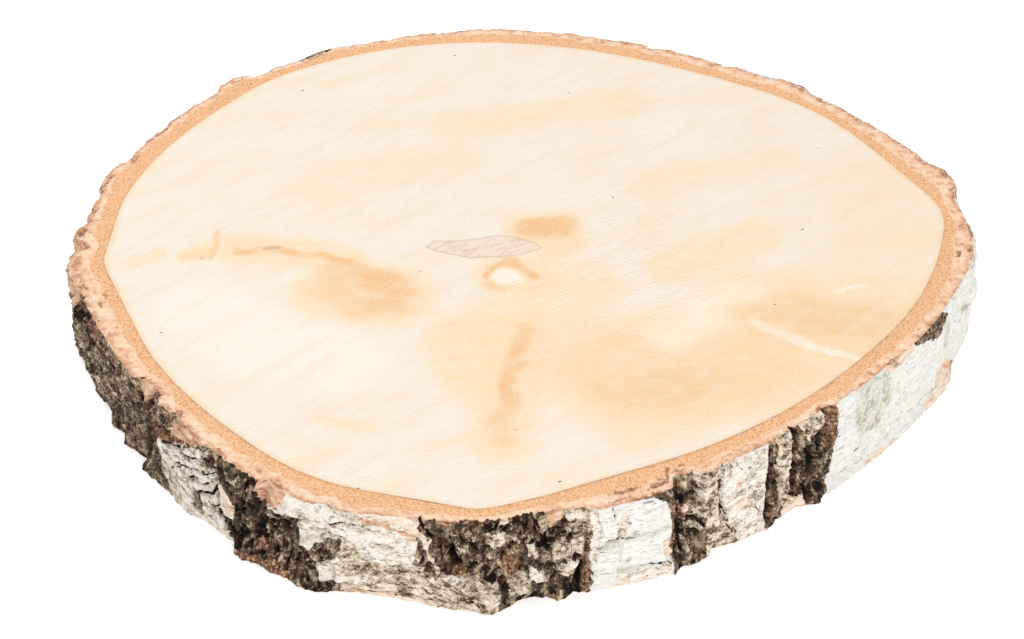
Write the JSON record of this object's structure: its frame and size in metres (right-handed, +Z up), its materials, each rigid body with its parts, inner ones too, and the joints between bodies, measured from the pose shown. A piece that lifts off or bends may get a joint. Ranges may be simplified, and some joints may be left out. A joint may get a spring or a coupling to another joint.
{
  "type": "birch wood slice",
  "caption": "Flat slice sawn across a birch trunk, with a pale wood face and rough bark round its edge, for a stand, board or craft base.",
  "frame": {"origin": "middle of the slice's box, on the lower sawn face", "axes": "+Z up out of the upper sawn face, +X along the longest width, -Y towards the side with the white plates and the black furrows"},
  "size_m": [0.2484, 0.2388, 0.027],
  "materials": {
    "birch_wood": "matte",
    "birch_bark": "matte"
  },
  "bodies": {
    "root": {"birch_slice": "birch_wood"}
  },
  "joints": []
}
